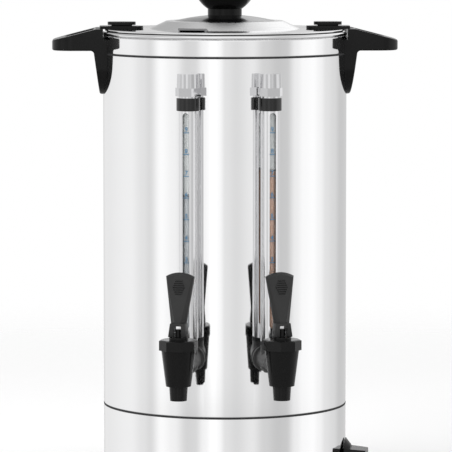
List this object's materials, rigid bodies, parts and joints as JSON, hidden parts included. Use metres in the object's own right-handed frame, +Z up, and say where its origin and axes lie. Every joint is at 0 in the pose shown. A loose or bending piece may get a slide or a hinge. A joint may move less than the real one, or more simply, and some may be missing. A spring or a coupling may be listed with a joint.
{
  "type": "water dispenser",
  "caption": "Tall round polished steel hot drinks urn with a divided tank, lever taps under slotted level gauges, a twist-lock lid, side handles and a thermostat knob.",
  "frame": {"origin": "on the floor under the middle of the whole outline; the body axis stands 28.2 mm behind it", "axes": "+Z up along the body axis, -Y towards the taps, +X towards the thermostat knob"},
  "size_m": [0.368, 0.3424, 0.5651],
  "materials": {
    "polished_steel": "polished stainless sheet, mirror bright",
    "plain_steel": "plain rolled or turned steel",
    "bright_chrome": "bright chrome plating",
    "black_plastic": "moulded black plastic, fine satin grain",
    "gloss_black": "glossy moulded black plastic",
    "black_rubber": "moulded black rubber",
    "silicone": "translucent grey silicone",
    "gauge_glass": "clear drawn glass tube",
    "pale_plastic": "heat-resistant pale plastic"
  },
  "bodies": {
    "root": {"bottom_plate": "plain_steel", "rubber_feet": "black_rubber", "foot_screws": "plain_steel", "base_shell": "polished_steel", "outer_shell": "polished_steel", "top_collar": "polished_steel", "inner_tank": "polished_steel", "tank_divider": "polished_steel", "heater_plate": "plain_steel", "heating_element": "plain_steel", "thermostat_body": "pale_plastic", "thermal_cutout": "pale_plastic", "terminal_block": "pale_plastic", "cable_gland": "black_plastic", "handle_left": "black_plastic", "handle_right": "black_plastic", "handle_screws": "plain_steel", "tap_shank_left": "black_plastic", "tap_shank_right": "black_plastic", "shank_washer_left": "black_rubber", "shank_washer_right": "black_rubber", "shank_nut_left": "bright_chrome", "shank_nut_right": "bright_chrome", "tap_body_left": "black_plastic", "tap_body_right": "black_plastic", "tap_bonnet_left": "black_plastic", "tap_bonnet_right": "black_plastic", "gauge_glass_left": "gauge_glass", "gauge_glass_right": "gauge_glass", "gauge_shield_left": "polished_steel", "gauge_shield_right": "polished_steel", "gauge_seal_left": "black_rubber", "gauge_seal_right": "black_rubber", "gauge_nut_left": "black_plastic", "gauge_nut_right": "black_plastic", "gauge_cap_left": "bright_chrome", "gauge_cap_right": "bright_chrome"},
    "lid_ring": {"lid_seal": "silicone"},
    "lid": {"lid_shell": "polished_steel", "lid_knob": "gloss_black", "knob_screw": "plain_steel", "lid_ear_left": "black_plastic", "lid_ear_right": "black_plastic", "ear_rivets": "plain_steel"},
    "control": {"control_knob": "black_plastic", "thermostat_spindle": "plain_steel"},
    "valve_left": {"valve_stem_left": "black_plastic", "seat_cup_left": "silicone", "stem_spring_left": "plain_steel"},
    "lever_left": {"tap_lever_left": "black_plastic", "lever_pin_left": "plain_steel"},
    "valve_right": {"valve_stem_right": "black_plastic", "seat_cup_right": "silicone", "stem_spring_right": "plain_steel"},
    "lever_right": {"tap_lever_right": "black_plastic", "lever_pin_right": "plain_steel"}
  },
  "joints": [
    {"name": "lid_lift", "type": "slide", "parent": "root", "child": "lid_ring", "axis": [0, 0, 1], "range_m": [0, 0.12]},
    {"name": "lid_twist", "type": "hinge", "parent": "lid_ring", "child": "lid", "pos_m": [0, 0.02819, 0.5], "axis": [0, 0, -1], "range_deg": [0, 8]},
    {"name": "thermostat_turn", "type": "hinge", "parent": "root", "child": "control", "pos_m": [0.13766, 0.00268, 0.045], "axis": [0.9833, -0.1822, 0], "range_deg": [0, 270]},
    {"name": "stem_lift_left", "type": "slide", "parent": "root", "child": "valve_left", "axis": [0, 0, 1], "range_m": [0, 0.0042], "deforming": ["stem_spring_left"]},
    {"name": "lever_pull_left", "type": "hinge", "parent": "valve_left", "child": "lever_left", "pos_m": [-0.05311, -0.1511, 0.1962], "axis": [0.9588, -0.284, 0], "range_deg": [0, 40], "stiffness_Nm_per_rad": 0.25, "springref_deg": -5.73},
    {"name": "stem_lift_right", "type": "slide", "parent": "root", "child": "valve_right", "axis": [0, 0, 1], "range_m": [0, 0.0042], "deforming": ["stem_spring_right"]},
    {"name": "lever_pull_right", "type": "hinge", "parent": "valve_right", "child": "lever_right", "pos_m": [0.05311, -0.1511, 0.1962], "axis": [0.9588, 0.284, 0], "range_deg": [0, 40], "stiffness_Nm_per_rad": 0.25, "springref_deg": -5.73}
  ],
  "couplings": [
    {"joint": "stem_lift_left", "follows": "lever_pull_left", "m_per_rad": 0.006},
    {"joint": "stem_lift_right", "follows": "lever_pull_right", "m_per_rad": 0.006}
  ]
}
